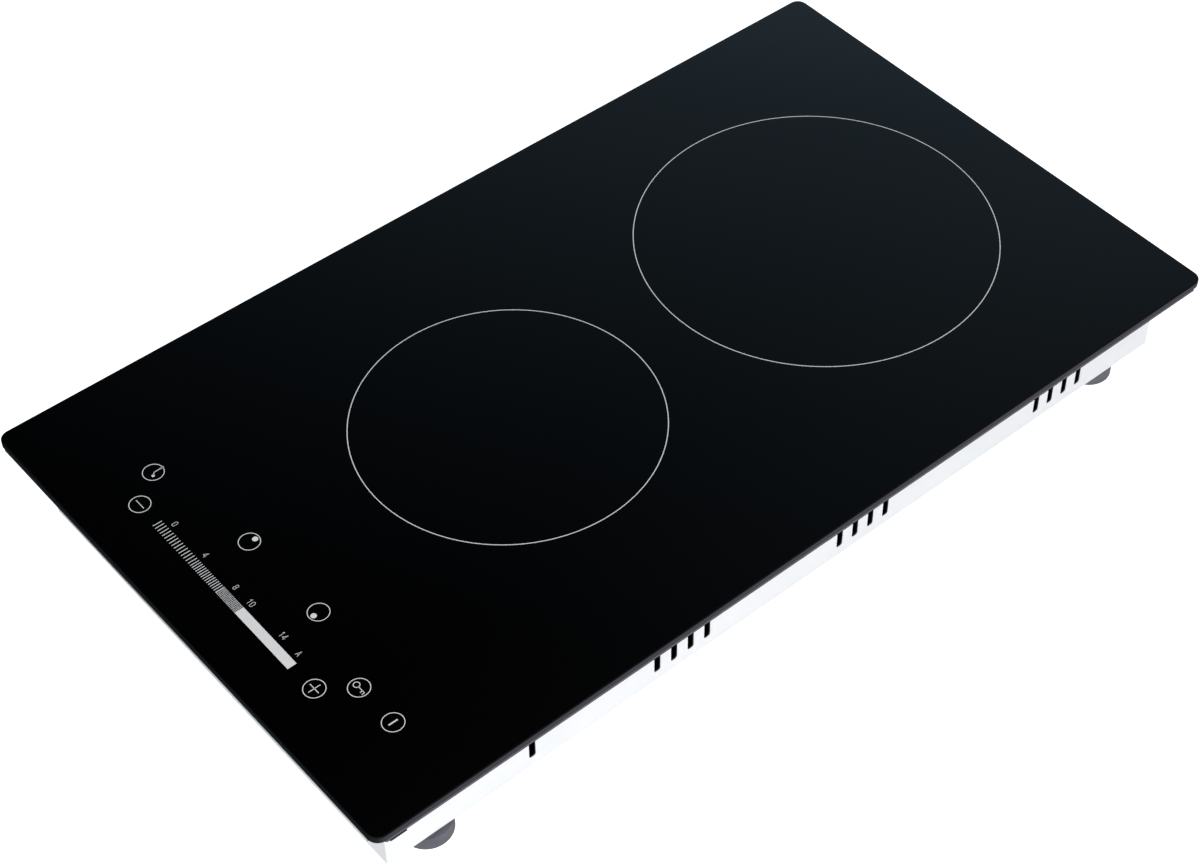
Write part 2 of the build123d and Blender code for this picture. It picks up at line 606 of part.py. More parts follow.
with BuildPart() as fan_impeller:
    # cup-shaped hub, open upwards over the motor
    with BuildSketch(Plane.XY.offset(IMPELLER_LOW)):
        with Locations((FAN_X, FAN_Y)):
            Circle(HUB_R)
    extrude(amount=IMPELLER_HIGH - IMPELLER_LOW)
    fillet(fan_impeller.edges().sort_by(Axis.Z)[0], 1.5)
    # back plate that carries the blades
    with BuildSketch(Plane.XY.offset(IMPELLER_HIGH - 1.5)):
        with Locations((FAN_X, FAN_Y)):
            Circle(IMPELLER_R)
    extrude(amount=1.5)
    with BuildSketch(Plane.XY.offset(HUB_FLOOR)):
        with Locations((FAN_X, FAN_Y)):
            Circle(HUB_R - 1.6)
    extrude(amount=IMPELLER_HIGH - HUB_FLOOR, mode=Mode.SUBTRACT)
    # forward-curved blades, and the ring that ties their free ends
    blade_mid = (BLADE_INNER_R + IMPELLER_R) / 2
    with BuildSketch(Plane.XY.offset(IMPELLER_LOW)):
        with Locations((FAN_X, FAN_Y)):
            with PolarLocations(blade_mid, BLADES):
                Rectangle(IMPELLER_R - BLADE_INNER_R - 1.0, BLADE_T, rotation=35)
    extrude(amount=IMPELLER_HIGH - IMPELLER_LOW)
    with BuildSketch(Plane.XY.offset(IMPELLER_LOW)):
        with Locations((FAN_X, FAN_Y)):
            Circle(IMPELLER_R)
            Circle(IMPELLER_R - 2.5, mode=Mode.SUBTRACT)
    extrude(amount=1.2)
    with Locations((FAN_X, FAN_Y, HUB_FLOOR)):
        Cylinder(SHAFT_R, IMPELLER_HIGH - HUB_FLOOR - 1.0, align=(Align.CENTER, Align.CENTER, Align.MIN))
save(fan_impeller, "fan_impeller")

# Air duct: a trough turned over the heatsink, from the fan's outlet forwards
DUCT_T = 1.4
DUCT_TOP = 39.6
DUCT_W = SINK_W + 6.0
DUCT_BACK = FAN_Y - FAN_SIDE / 2
with BuildPart() as air_duct:
    duct_l = DUCT_BACK - SINK_FRONT
    with Locations((SINK_X, (DUCT_BACK + SINK_FRONT) / 2, BOARD_TOP)):
        Box(DUCT_W, duct_l, DUCT_TOP - BOARD_TOP, align=(Align.CENTER, Align.CENTER, Align.MIN))
    fillet(air_duct.edges().filter_by(Axis.Y).group_by(Axis.Z)[-1], 2.0)
    with Locations((SINK_X, (DUCT_BACK + SINK_FRONT) / 2, BOARD_TOP)):
        Box(
            DUCT_W - 2 * DUCT_T,
            duct_l + 2,
            DUCT_TOP - BOARD_TOP - DUCT_T,
            align=(Align.CENTER, Align.CENTER, Align.MIN),
            mode=Mode.SUBTRACT,
        )
save(air_duct, "air_duct")

# ---------------------------------------------------------------- coil carrier plate

PLATE_LOW = 42.6
PLATE_T = 1.5
PLATE_TOP = PLATE_LOW + PLATE_T
PLATE_X = 130.5
PLATE_FRONT = -160.0
PLATE_BACK = 238.0
POST_X = 127.0
POST_R = 3.4
POST_YS = (-152.0, 42.0, 230.0)
# a coil's two leads pass through the plate at this part of its radius
LEAD_OUT = 0.7
LEAD_SLOT = (8.4, 4.4)

# Coil stack heights
FORMER_LOW = 50.2
FORMER_T = 1.6
COIL_LOW = FORMER_LOW + FORMER_T
MICA_TOP = GLASS_BOTTOM - 0.2
MICA_T = 0.5
RIM_TOP = MICA_TOP - MICA_T
LITZ_R = 1.7
LITZ_PITCH = 3.2
CENTRE_R = 14.0
COIL_INNER_R = 19.0
FERRITE_T = 4.0
SPRING_R = 3.2
SPRING_WIRE_R = 0.35
SPRINGS = 3

with BuildPart() as coil_plate:
    with Locations((0, (PLATE_FRONT + PLATE_BACK) / 2, PLATE_LOW)):
        Box(2 * PLATE_X, PLATE_BACK - PLATE_FRONT, PLATE_T, align=(Align.CENTER, Align.CENTER, Align.MIN))
    fillet(coil_plate.edges().filter_by(Axis.Z), 4.0)
    for zone_y, zone_r, bars in ZONES.values():
        with Locations((0, zone_y, PLATE_LOW)):
            Cylinder(CENTRE_R - 3, 4 * PLATE_T, mode=Mode.SUBTRACT)
        lead_dx, lead_dy = polar(zone_r * LEAD_OUT, 180 / bars)
        with Locations((lead_dx, zone_y + lead_dy, PLATE_LOW)):
            Box(14.0, 10.0, 4 * PLATE_T, mode=Mode.SUBTRACT)
    with Locations(*grid((-POST_X, POST_X), POST_YS, PLATE_LOW)):
        Cylinder(1.7, 4 * PLATE_T, mode=Mode.SUBTRACT)
save(coil_plate, "coil_plate")

with BuildPart() as plate_posts:
    with Locations(*grid((-POST_X, POST_X), POST_YS, FLOOR)):
        Cylinder(POST_R, PLATE_LOW - FLOOR, align=(Align.CENTER, Align.CENTER, Align.MIN))
    with Locations(*grid((-POST_X, POST_X), POST_YS, PLATE_LOW)):
        Cylinder(1.5, 20.0, mode=Mode.SUBTRACT)
save(plate_posts, "plate_posts")

# Identical M3 screws hold the board, the fan and the carrier plate
internal_screw_places = grid(standoff_xs, standoff_ys, BOARD_TOP)
internal_screw_places += grid((-POST_X, POST_X), POST_YS, PLATE_TOP)
internal_screw_places += [(x, y, FLOOR + LUG_H) for x, y in FAN_LUGS]
internal_screw = screw(2.8, 1.8, 1.4, 5.8)
with BuildPart() as internal_screws:
    for x, y, z in internal_screw_places:
        add(Pos(x, y, z) * internal_screw)
save(internal_screws, "internal_screws")

# ---------------------------------------------------------------- coil modules


def coil_spring(height):
    """Compression spring standing on z = 0."""
    turns = 4
    rise = height - 2 * SPRING_WIRE_R
    wire_path = Helix(pitch=rise / turns, height=rise, radius=SPRING_R)
    with BuildPart() as spring:
        with BuildSketch(Plane(origin=wire_path @ 0, z_dir=wire_path % 0)):
            Circle(SPRING_WIRE_R)
        sweep(path=wire_path, is_frenet=True)
    return Pos(0, 0, SPRING_WIRE_R) * spring.part


spring_shape = coil_spring(FORMER_LOW - PLATE_TOP - 0.2)

for zone, (zone_y, zone_r, bars) in ZONES.items():
    # moulded former: disc with an outer and an inner rim
    with BuildPart() as former:
        with BuildSketch(Plane.XY.offset(FORMER_LOW)):
            with Locations((0, zone_y)):
                Circle(zone_r)
                Circle(CENTRE_R, mode=Mode.SUBTRACT)
                # slot that the two leads rise into
                with Locations(polar(zone_r * LEAD_OUT, 180 / bars)):
                    Rectangle(*LEAD_SLOT, mode=Mode.SUBTRACT)
        extrude(amount=FORMER_T)
        with BuildSketch(Plane.XY.offset(COIL_LOW)):
            with Locations((0, zone_y)):
                Circle(zone_r)
                Circle(zone_r - 1.6, mode=Mode.SUBTRACT)
                Circle(COIL_INNER_R - LITZ_R - 0.4)
                Circle(CENTRE_R, mode=Mode.SUBTRACT)
        extrude(amount=RIM_TOP - COIL_LOW)
    save(former, f"{zone}_coil_former")

    # spiral litz winding, as touching turns
    turns = int((zone_r - 2 * LITZ_R - COIL_INNER_R) / LITZ_PITCH) + 1
    winding_plane = Plane(origin=(0, zone_y, COIL_LOW + LITZ_R), x_dir=(1, 0, 0), z_dir=(0, -1, 0))
    with BuildPart() as winding:
        with BuildSketch(winding_plane):
            with Locations(*[(COIL_INNER_R + n * LITZ_PITCH, 0) for n in range(turns)]):
                Circle(LITZ_R)
        revolve(axis=Axis((0, zone_y, 0), (0, 0, 1)))
    save(winding, f"{zone}_coil_winding")

    # radial ferrite bars under the former
    bar_l = zone_r - CENTRE_R - 10
    with BuildPart() as ferrites:
        with Locations((0, zone_y, FORMER_LOW)):
            with PolarLocations(CENTRE_R + 4 + bar_l / 2, bars):
                Box(bar_l, 11.0, FERRITE_T, align=(Align.CENTER, Align.CENTER, Align.MAX))
        fillet(ferrites.edges().filter_by(Axis.Z), 1.0)
    save(ferrites, f"{zone}_ferrite_bars")

    # mica sheet between the coil and the glass
    with BuildPart() as mica:
        with BuildSketch(Plane.XY.offset(RIM_TOP)):
            with Locations((0, zone_y)):
                Circle(zone_r)
                Circle(6.0, mode=Mode.SUBTRACT)
        extrude(amount=MICA_T)
    save(mica, f"{zone}_mica_sheet")

    # glass temperature sensor in its rubber holder
    with BuildPart() as sensor:
        with Locations((0, zone_y, FORMER_LOW - 1.5)):
            Cylinder(CENTRE_R, 1.5, align=(Align.CENTER, Align.CENTER, Align.MIN))
            Cylinder(9.0, 4.0, align=(Align.CENTER, Align.CENTER, Align.MIN))
            Cylinder(5.0, MICA_TOP - FORMER_LOW + 1.5, align=(Align.CENTER, Align.CENTER, Align.MIN))
    save(sensor, f"{zone}_glass_sensor")

    # springs that press the module against the glass
    with BuildPart() as springs:
        for n in range(SPRINGS):
            dx, dy = polar(zone_r - 9, 180 / bars + 360 / SPRINGS * n)
            add(Pos(dx, zone_y + dy, PLATE_TOP + 0.1) * spring_shape)
    save(springs, f"{zone}_coil_springs")

# ---------------------------------------------------------------- touch control

CARRIER_W = 232.0
CARRIER_D = 44.0
CARRIER_LOW = 43.0
CARRIER_H = 6.8
CARRIER_WALL = 1.6
TOUCH_BOARD_LOW = 48.4
TOUCH_BOARD_T = 1.6
TOUCH_BOARD_TOP = TOUCH_BOARD_LOW + TOUCH_BOARD_T
LEG_X = 90.0
LEG_DY = 14.0
LEG_R = 3.5

with BuildPart() as touch_carrier:
    with Locations((0, TOUCH_Y, CARRIER_LOW)):
        Box(CARRIER_W, CARRIER_D, CARRIER_H, align=(Align.CENTER, Align.CENTER, Align.MIN))
    fillet(touch_carrier.edges().filter_by(Axis.Z), 3.0)
    with Locations((0, TOUCH_Y, CARRIER_LOW + CARRIER_WALL)):
        inner_size = (CARRIER_W - 2 * CARRIER_WALL, CARRIER_D - 2 * CARRIER_WALL)
        Box(*inner_size, CARRIER_H, align=(Align.CENTER, Align.CENTER, Align.MIN), mode=Mode.SUBTRACT)
    # ledges that the board lies on
    with Locations((-CARRIER_W / 2 + 4, TOUCH_Y, CARRIER_LOW), (CARRIER_W / 2 - 4, TOUCH_Y, CARRIER_LOW)):
        Box(5.0, CARRIER_D - 6, TOUCH_BOARD_LOW - CARRIER_LOW, align=(Align.CENTER, Align.CENTER, Align.MIN))
    # moulded legs down to the tray's floor
    with Locations((0, TOUCH_Y, FLOOR)):
        with GridLocations(2 * LEG_X, 2 * LEG_DY, 2, 2):
            Cylinder(LEG_R, CARRIER_LOW - FLOOR, align=(Align.CENTER, Align.CENTER, Align.MIN))
save(touch_carrier, "touch_carrier")

with BuildPart() as touch_board:
    with Locations((0, TOUCH_Y, TOUCH_BOARD_LOW)):
        board_size = (CARRIER_W - 2 * CARRIER_WALL - 0.6, CARRIER_D - 2 * CARRIER_WALL - 0.6)
        Box(*board_size, TOUCH_BOARD_T, align=(Align.CENTER, Align.CENTER, Align.MIN))
    fillet(touch_board.edges().filter_by(Axis.Z), 2.0)
save(touch_board, "touch_board")

# One sprung touch electrode under each printed key
ELECTRODE_R = 4.6
with BuildPart() as touch_electrodes:
    for x, y in KEYS.values():
        with Locations((x, y, TOUCH_BOARD_TOP)):
            Cylinder(1.2, GLASS_BOTTOM - TOUCH_BOARD_TOP - 0.6, align=(Align.CENTER, Align.CENTER, Align.MIN))
            Cylinder(2.4, 2.0, align=(Align.CENTER, Align.CENTER, Align.MIN))
        with Locations((x, y, GLASS_BOTTOM)):
            Cylinder(ELECTRODE_R, 1.0, align=(Align.CENTER, Align.CENTER, Align.MAX))
save(touch_electrodes, "touch_electrodes")

# Slider sensor strip and the display windows beside it
with BuildPart() as slider_strip:
    with Locations((0, TOUCH_Y - 4, GLASS_BOTTOM)):
        Box(106.0, 7.0, 1.0, align=(Align.CENTER, Align.CENTER, Align.MAX))
    with Locations((0, TOUCH_Y - 4, TOUCH_BOARD_TOP)):
        with GridLocations(25.0, 0, 4, 1):
            Cylinder(1.5, GLASS_BOTTOM - 1.0 - TOUCH_BOARD_TOP, align=(Align.CENTER, Align.CENTER, Align.MIN))
save(slider_strip, "slider_strip")

DISPLAY_XS = (-44.0, 8.0, 60.0)
with BuildPart() as led_displays:
    with Locations(*grid(DISPLAY_XS, (TOUCH_Y + 11,), TOUCH_BOARD_TOP)):
        Box(16.0, 10.0, GLASS_BOTTOM - 0.4 - TOUCH_BOARD_TOP, align=(Align.CENTER, Align.CENTER, Align.MIN))
save(led_displays, "led_displays")

# ---------------------------------------------------------------- internal wiring

# Flat ribbon from the touch board to the power board
RIBBON_X = 96.0
RIBBON_W = 14.0
RIBBON_T = 0.9
with BuildPart() as ribbon_cable:
    with BuildLine(Plane.YZ.offset(RIBBON_X)) as ribbon_route:
        FilletPolyline(
            (TOUCH_Y + 6, TOUCH_BOARD_TOP + 0.6),
            (TOUCH_Y + 34, TOUCH_BOARD_TOP + 0.6),
            (TOUCH_Y + 44, BOARD_TOP - 4),
            (BOARD_FRONT - 4, BOARD_TOP - 4),
            radius=6.0,
        )
    with BuildSketch(Plane(origin=ribbon_route.line @ 0, z_dir=ribbon_route.line % 0, x_dir=(1, 0, 0))):
        Rectangle(RIBBON_W, RIBBON_T)
    sweep()
save(ribbon_cable, "ribbon_cable")

# Mains wires from the terminal block to the board's filter
WIRE_R = 1.4
with BuildPart() as mains_wires:
    for n in range(3):
        wire_x = TERM_X + 15.5 + 4.5 * n
        end_x = 46.0 + 5.0 * n
        with BuildLine():
            wire_route = FilletPolyline(
                (wire_x, BLOCK_Y - BLOCK_D / 2, TERM_Z - 4),
                (wire_x, CASE_BACK - TERM_D - 22, TERM_Z - 4),
                (end_x, BOARD_BACK + 14, TERM_Z - 4),
                (end_x, BOARD_BACK - 16, TERM_Z - 4),
                radius=12.0,
            )
        with BuildSketch(Plane(origin=wire_route @ 0, z_dir=wire_route % 0)):
            Circle(WIRE_R)
        sweep(path=wire_route)
save(mains_wires, "mains_wires")

# Leads from each coil down through the plate to its terminals on the board
LEAD_R = 1.5
LEAD_STEP = 4.0
LEAD_RUN_Z = 38.5
lead_turns = {
    "front": [(42.0, -60.0)],
    "rear": [(62.0, 100.0), (62.0, -88.0), (46.0, -88.0)],
}
with BuildPart() as coil_leads:
    for zone, (zone_y, zone_r, bars) in ZONES.items():
        lead_dx, lead_dy = polar(zone_r * LEAD_OUT, 180 / bars)
        for shift in (-LEAD_STEP / 2, LEAD_STEP / 2):
            start = (lead_dx + shift, zone_y + lead_dy)
            level_points = [(x + shift, y, LEAD_RUN_Z) for x, y in lead_turns[zone]]
            end_x, end_y = lead_turns[zone][-1]
            with BuildLine():
                lead_route = FilletPolyline(
                    (*start, FORMER_LOW - 0.5),
                    (*start, LEAD_RUN_Z),
                    *level_points,
                    (end_x + shift, end_y, BOARD_TOP + TERMINAL_H),
                    radius=3.0,
                )
            with BuildSketch(Plane(origin=lead_route @ 0, z_dir=lead_route % 0)):
                Circle(LEAD_R)
            sweep(path=lead_route)
save(coil_leads, "coil_leads")
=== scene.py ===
"""Looks of the two-zone domino induction cooktop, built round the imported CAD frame.

Every CAD node keeps its shape and gets a procedural material. The marks printed on the glass are thin
ink pieces laid on its top face, and their places and sizes are in millimetres. All else is in metres.
"""

import json
from math import cos, radians, sin

import bmesh
import bpy
from mathutils import Matrix, Vector


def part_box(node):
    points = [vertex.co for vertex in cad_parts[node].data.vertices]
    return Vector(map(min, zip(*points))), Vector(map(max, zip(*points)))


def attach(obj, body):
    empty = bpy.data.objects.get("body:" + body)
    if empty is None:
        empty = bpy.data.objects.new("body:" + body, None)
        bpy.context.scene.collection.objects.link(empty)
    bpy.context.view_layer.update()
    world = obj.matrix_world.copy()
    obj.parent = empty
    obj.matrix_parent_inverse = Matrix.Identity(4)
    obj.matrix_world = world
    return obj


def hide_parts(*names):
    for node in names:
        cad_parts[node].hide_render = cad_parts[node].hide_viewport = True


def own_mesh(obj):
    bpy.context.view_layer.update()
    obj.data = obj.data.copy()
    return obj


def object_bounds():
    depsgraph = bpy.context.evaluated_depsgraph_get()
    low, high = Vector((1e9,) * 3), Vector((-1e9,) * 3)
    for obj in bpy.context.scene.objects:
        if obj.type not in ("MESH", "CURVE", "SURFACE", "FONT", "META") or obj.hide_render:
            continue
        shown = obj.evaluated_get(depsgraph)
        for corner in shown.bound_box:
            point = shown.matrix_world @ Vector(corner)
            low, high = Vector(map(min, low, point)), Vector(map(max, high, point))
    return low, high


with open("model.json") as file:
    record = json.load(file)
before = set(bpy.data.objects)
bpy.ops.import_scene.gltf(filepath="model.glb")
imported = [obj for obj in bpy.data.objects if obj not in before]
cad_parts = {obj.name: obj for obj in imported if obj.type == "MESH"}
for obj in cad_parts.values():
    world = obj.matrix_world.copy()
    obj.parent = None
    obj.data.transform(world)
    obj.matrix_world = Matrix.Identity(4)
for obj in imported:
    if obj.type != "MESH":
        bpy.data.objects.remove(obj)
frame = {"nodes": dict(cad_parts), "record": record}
cad_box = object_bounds()
scene = bpy.context.scene
MM = 0.001

glass_low, glass_high = (Vector(corner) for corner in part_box("glass_top"))
tray_low, tray_high = (Vector(corner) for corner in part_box("case_tray"))
seal_low, seal_high = (Vector(corner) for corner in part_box("edge_seal"))
TOP_Z = glass_high.z
TRAY_BEND_R = 3.0 * MM
ENAMEL_EDGE = 0.2 * MM
FOAM_T = 1.0 * MM
SHARP_FADE = 0.1 * MM


# ---------------------------------------------------------------- material helpers


class Nodes:
    """A material's node tree with short calls for the nodes used here."""

    def __init__(self, name):
        self.material = bpy.data.materials.new(name)
        self.material.use_nodes = True
        self.tree = self.material.node_tree
        self.shader = self.tree.nodes["Principled BSDF"]

    def add(self, kind, **values):
        """A new node; values name its properties, or its inputs where it has no such property."""
        node = self.tree.nodes.new(kind)
        for key, value in values.items():
            if hasattr(node, key):
                setattr(node, key, value)
            else:
                node.inputs[key.replace("_", " ")].default_value = value
        return node

    def link(self, source, target):
        self.tree.links.new(source, target)

    def place(self, stretch=(1, 1, 1)):
        """Object-space position, stretched."""
        coords = self.add("ShaderNodeTexCoord")
        mapping = self.add("ShaderNodeMapping")
        mapping.inputs["Scale"].default_value = stretch
        self.link(coords.outputs["Object"], mapping.inputs["Vector"])
        return mapping.outputs["Vector"]

    def noise(self, place, scale, detail=4.0, roughness=0.55):
        """Noise value from 0 to 1, with its scale in features per metre."""
        node = self.add("ShaderNodeTexNoise", Scale=scale, Detail=detail, Roughness=roughness)
        self.link(place, node.inputs["Vector"])
        return node.outputs["Fac"]

    def ramp(self, value, low, high, start=0.3, end=0.7):
        """Maps a value's range start..end to low..high."""
        node = self.add("ShaderNodeMapRange")
        node.inputs["From Min"].default_value = start
        node.inputs["From Max"].default_value = end
        node.inputs["To Min"].default_value = low
        node.inputs["To Max"].default_value = high
        self.link(value, node.inputs["Value"])
        return node.outputs["Result"]

    def mix(self, factor, first, second):
        """Colour mix; first and second are colours or sockets."""
        node = self.add("ShaderNodeMix", data_type="RGBA")
        self.link(factor, node.inputs[0])
        for index, value in ((6, first), (7, second)):
            if isinstance(value, (tuple, list)):
                node.inputs[index].default_value = (*value[:3], 1.0)
            else:
                self.link(value, node.inputs[index])
        return node.outputs[2]

    def math(self, operation, first, second=0.0):
        node = self.add("ShaderNodeMath", operation=operation)
        for index, value in ((0, first), (1, second)):
            if isinstance(value, (int, float)):
                node.inputs[index].default_value = value
            else:
                self.link(value, node.inputs[index])
        return node.outputs["Value"]

    def split(self, vector):
        """A vector's X, Y and Z, as an output list."""
        node = self.add("ShaderNodeSeparateXYZ")
        self.link(vector, node.inputs["Vector"])
        return node.outputs

    def bump(self, height, distance):
        """Bump of the given depth in metres, joined to the shader's normal."""
        node = self.add("ShaderNodeBump", Distance=distance, Strength=1.0)
        self.link(height, node.inputs["Height"])
        self.link(node.outputs["Normal"], self.shader.inputs["Normal"])

    def colour(self, factor, first, second):
        """Base colour, mixed from two colours or sockets."""
        self.link(self.mix(factor, first, second), self.shader.inputs["Base Color"])

    def roughness(self, value, low, high):
        """Roughness from low to high as value goes over a ramp's usual range."""
        self.link(self.ramp(value, low, high), self.shader.inputs["Roughness"])

    def set(self, **values):
        """Uniform values, set on the shader's own sockets."""
        for key, value in values.items():
            self.shader.inputs[key.replace("_", " ")].default_value = value


def shade(colour, factor):
    """A colour made lighter or darker by a factor."""
    return tuple(min(1.0, channel * factor) for channel in colour)


def plain_surface(name, colour, roughness, metallic=0.0, grain=700.0, spread=0.08, depth=0.00002,
                  stretch=(1, 1, 1), coat=0.0):
    """Moulded, painted or rolled material: grain in colour and roughness, and a fine bump."""
    nodes = Nodes(name)
    place = nodes.place(stretch)
    fine = nodes.noise(place, grain)
    broad = nodes.noise(place, grain / 18, detail=2.0)
    total = nodes.math("ADD", nodes.math("MULTIPLY", fine, 0.6), nodes.math("MULTIPLY", broad, 0.4))
    nodes.colour(nodes.ramp(total, 0.0, 1.0), shade(colour, 1 - spread), shade(colour, 1 + spread))
    nodes.roughness(total, roughness * 0.88, min(1.0, roughness * 1.12))
    nodes.bump(fine, depth)
    nodes.set(Metallic=metallic)
    if coat:
        nodes.set(Coat_Weight=coat, Coat_Roughness=0.08)
    return nodes.material


def glass_material():
    """Polished black glass-ceramic with a ground, slightly lighter edge; the edge facing the front is tinted
    greener as painted light.
    """
    nodes = Nodes("black_glass_ceramic")
    facing = nodes.split(nodes.add("ShaderNodeNewGeometry").outputs["True Normal"])
    is_edge = nodes.ramp(nodes.math("ABSOLUTE", facing["Z"]), 1.0, 0.0, 0.3, 0.98)
    is_front = nodes.ramp(facing["Y"], 1.0, 0.0, -0.9, -0.6)
    place = nodes.place()
    haze = nodes.noise(place, 14.0, detail=5.0)
    specks = nodes.noise(place, 2600.0, detail=1.0)
    ground = nodes.noise(nodes.place((1, 1, 0.15)), 3200.0, detail=3.0)
    specked = nodes.ramp(specks, 0.0, 1.0, 0.45, 0.75)
    face = nodes.mix(specked, (0.0005, 0.0005, 0.0006), (0.0012, 0.0012, 0.0014))
    grain = nodes.ramp(ground, 0.0, 1.0)
    side_edge = nodes.mix(grain, (0.010, 0.0095, 0.013), (0.018, 0.017, 0.022))
    # painted light: the edge facing the front gets a greener tint than the side edges
    front_edge_painted_light = nodes.mix(grain, (0.008, 0.0115, 0.012), (0.014, 0.020, 0.021))
    nodes.colour(is_edge, face, nodes.mix(is_front, side_edge, front_edge_painted_light))
    rough = nodes.add("ShaderNodeMix", data_type="FLOAT")
    nodes.link(is_edge, rough.inputs[0])
    nodes.link(nodes.ramp(haze, 0.025, 0.055), rough.inputs[2])
    nodes.link(nodes.ramp(ground, 0.30, 0.46), rough.inputs[3])
    nodes.link(rough.outputs[0], nodes.shader.inputs["Roughness"])
    nodes.bump(nodes.math("MULTIPLY", ground, is_edge), 0.00003)
    nodes.set(IOR=1.52)
    return nodes.material


def enamel_material():
    """White stove enamel outside, with a faint orange peel; inside the tray the sheet is painted near-black
    as painted shade.
    """
    nodes = Nodes("white_enamel")
    place = nodes.place()
    peel = nodes.noise(place, 900.0, detail=2.0)
    wave = nodes.noise(place, 18.0, detail=2.0)
    tone = nodes.ramp(wave, 0.0, 1.0, 0.35, 0.65)
    enamel = nodes.mix(tone, (0.80, 0.815, 0.83), (0.84, 0.85, 0.86))
    # painted shade: the tray's inside is coloured near-black so the vent slots look dark
    inside_painted_shade = nodes.mix(tone, (0.022, 0.023, 0.026), (0.032, 0.033, 0.037))
    # The distance from the middle of the bends round the floor tells the tray's inside from its outside
    where = nodes.split(place)
    past_bend = nodes.add("ShaderNodeCombineXYZ")
    for axis, half in (("X", tray_high.x), ("Y", tray_high.y)):
        beyond = nodes.math("SUBTRACT", nodes.math("ABSOLUTE", where[axis]), half - TRAY_BEND_R)
        nodes.link(nodes.math("MAXIMUM", beyond, 0.0), past_bend.inputs[axis])
    beneath = nodes.math("SUBTRACT", tray_low.z + TRAY_BEND_R, where["Z"])
    nodes.link(nodes.math("MAXIMUM", beneath, 0.0), past_bend.inputs["Z"])
    from_bend = nodes.add("ShaderNodeVectorMath", operation="LENGTH")
    nodes.link(past_bend.outputs["Vector"], from_bend.inputs[0])
    enamel_r = TRAY_BEND_R - ENAMEL_EDGE
    inside = nodes.ramp(from_bend.outputs["Value"], 1.0, 0.0, enamel_r - SHARP_FADE, enamel_r)
    nodes.colour(inside, enamel, inside_painted_shade)
    nodes.roughness(peel, 0.30, 0.42)
    nodes.bump(peel, 0.00002)
    return nodes.material


def seal_material():
    """Grey open-cell foam tape, darker along its lowest part; its front face has a painted highlight, paler
    towards the right.
    """
    nodes = Nodes("seal_foam")
    place = nodes.place()
    cells = nodes.noise(place, 1500.0, detail=5.0)
    where = nodes.split(place)
    foam = nodes.mix(nodes.ramp(cells, 0.0, 1.0), (0.085, 0.080, 0.105), (0.150, 0.143, 0.185))
    # a darker colour for the lowest part of the tape, below FOAM_T from the glass
    dark_lower_band = nodes.mix(nodes.ramp(cells, 0.0, 1.0), (0.010, 0.009, 0.016), (0.018, 0.016, 0.026))
    foam_low = glass_low.z - FOAM_T
    is_foam = nodes.ramp(where["Z"], 0.0, 1.0, foam_low, foam_low + SHARP_FADE)
    sides = nodes.mix(is_foam, dark_lower_band, foam)
    # painted highlight: the front face is painted pale, growing towards the right
    front = nodes.ramp(where["Y"], 1.0, 0.0, seal_low.y + 0.02 * MM, seal_low.y + 0.06 * MM)
    painted_front_highlight = nodes.math("MULTIPLY", front, nodes.ramp(where["X"], 0.0, 1.0, -50 * MM, 30 * MM))
    nodes.colour(painted_front_highlight, sides, (0.42, 0.46, 0.46))
    nodes.roughness(cells, 0.55, 0.72)
    nodes.bump(cells, 0.00010)
    return nodes.material


def rubber_material():
    """Moulded dark grey rubber: matt, with a dusty bloom."""
    nodes = Nodes("foot_rubber")
    place = nodes.place()
    fine = nodes.noise(place, 2400.0, detail=3.0)
    bloom = nodes.noise(place, 120.0, detail=5.0)
    nodes.colour(nodes.ramp(bloom, 0.0, 1.0), (0.095, 0.095, 0.118), (0.140, 0.140, 0.165))
    nodes.roughness(bloom, 0.42, 0.55)
    nodes.bump(fine, 0.00006)
    return nodes.material


def ink_material():
    """Screen-printed light grey ceramic ink, with the slight mottling of the screen."""
    nodes = Nodes("print_ink")
    place = nodes.place()
    mottle = nodes.noise(place, 3000.0, detail=2.0)
    cloud = nodes.noise(place, 260.0, detail=3.0)
    both = nodes.math("MULTIPLY", mottle, cloud)
    nodes.colour(nodes.ramp(both, 0.0, 1.0, 0.12, 0.42), (0.78, 0.78, 0.78), (0.86, 0.86, 0.86))
    nodes.roughness(mottle, 0.42, 0.60)
    nodes.bump(mottle, 0.000008)
    return nodes.material


